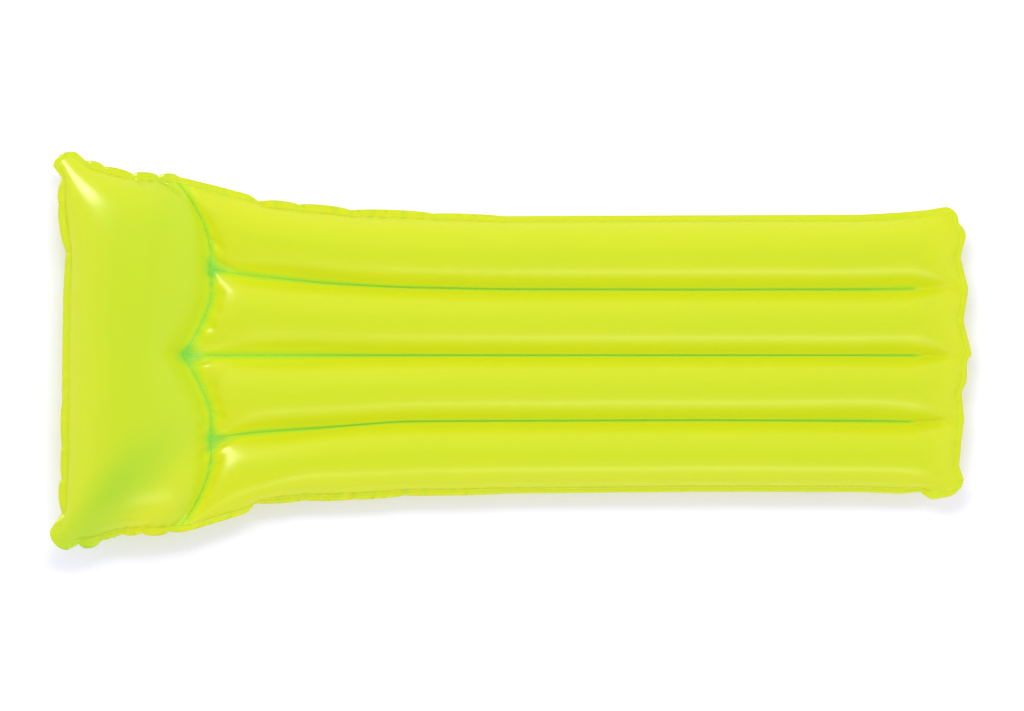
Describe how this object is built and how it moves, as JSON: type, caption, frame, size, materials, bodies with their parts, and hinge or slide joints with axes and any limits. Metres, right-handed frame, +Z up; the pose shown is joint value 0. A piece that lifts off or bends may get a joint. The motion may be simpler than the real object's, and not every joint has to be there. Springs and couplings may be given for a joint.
{
  "type": "inflatable pool mattress",
  "caption": "Inflated vinyl pool mattress for lying on: welded films form long tubes and a head pillow, and each air chamber has a push-in valve with a tethered stopper.",
  "frame": {"origin": "on the ground under the middle of the inflated mattress", "axes": "+X from the head pillow to the foot, +Y to the mattress's side, +Z up from the ground"},
  "size_m": [1.7049, 0.7296, 0.166],
  "materials": {
    "vinyl_film": "satin-gloss translucent film",
    "valve_vinyl": "satin, soft moulded vinyl"
  },
  "bodies": {
    "mattress": {"top_sheet": "vinyl_film", "bottom_sheet": "vinyl_film", "bed_valve_base": "valve_vinyl", "pillow_valve_base": "valve_vinyl"},
    "bed_stem": {"bed_valve_stem": "valve_vinyl"},
    "bed_flap": {"bed_valve_flap": "valve_vinyl"},
    "bed_tether": {"bed_valve_tether": "valve_vinyl"},
    "bed_stopper": {"bed_valve_stopper": "valve_vinyl"},
    "pillow_stem": {"pillow_valve_stem": "valve_vinyl"},
    "pillow_flap": {"pillow_valve_flap": "valve_vinyl"},
    "pillow_tether": {"pillow_valve_tether": "valve_vinyl"},
    "pillow_stopper": {"pillow_valve_stopper": "valve_vinyl"}
  },
  "joints": [
    {"name": "bed_valve_push", "type": "slide", "parent": "mattress", "child": "bed_stem", "axis": [0, -0.767, -0.6416], "range_m": [0, 0.014], "deforming": ["bed_valve_base"]},
    {"name": "bed_flap_hinge", "type": "hinge", "parent": "bed_stem", "child": "bed_flap", "pos_m": [0.5538, -0.21634, 0.03365], "axis": [0, -0.6416, 0.767], "range_deg": [0, 40], "stiffness_Nm_per_rad": 0.0002, "springref_deg": -11.46},
    {"name": "bed_tether_turn", "type": "hinge", "parent": "bed_stem", "child": "bed_tether", "pos_m": [0.56, -0.23007, 0.02217], "axis": [0, -0.767, -0.6416], "continuous": true},
    {"name": "bed_stopper_pull", "type": "slide", "parent": "bed_tether", "child": "bed_stopper", "axis": [0, -0.767, -0.6416], "range_m": [0, 0.012]},
    {"name": "pillow_valve_push", "type": "slide", "parent": "mattress", "child": "pillow_stem", "axis": [-0.6006, 0, -0.7995], "range_m": [0, 0.014], "deforming": ["pillow_valve_base"]},
    {"name": "pillow_flap_hinge", "type": "hinge", "parent": "pillow_stem", "child": "pillow_flap", "pos_m": [-0.76467, 0.162, 0.0476], "axis": [0, -1, 0], "range_deg": [0, 40], "stiffness_Nm_per_rad": 0.0002, "springref_deg": -11.46},
    {"name": "pillow_tether_turn", "type": "hinge", "parent": "pillow_stem", "child": "pillow_tether", "pos_m": [-0.77046, 0.162, 0.02956], "axis": [-0.6006, 0, -0.7995], "continuous": true},
    {"name": "pillow_stopper_pull", "type": "slide", "parent": "pillow_tether", "child": "pillow_stopper", "axis": [-0.6006, 0, -0.7995], "range_m": [0, 0.012]}
  ]
}
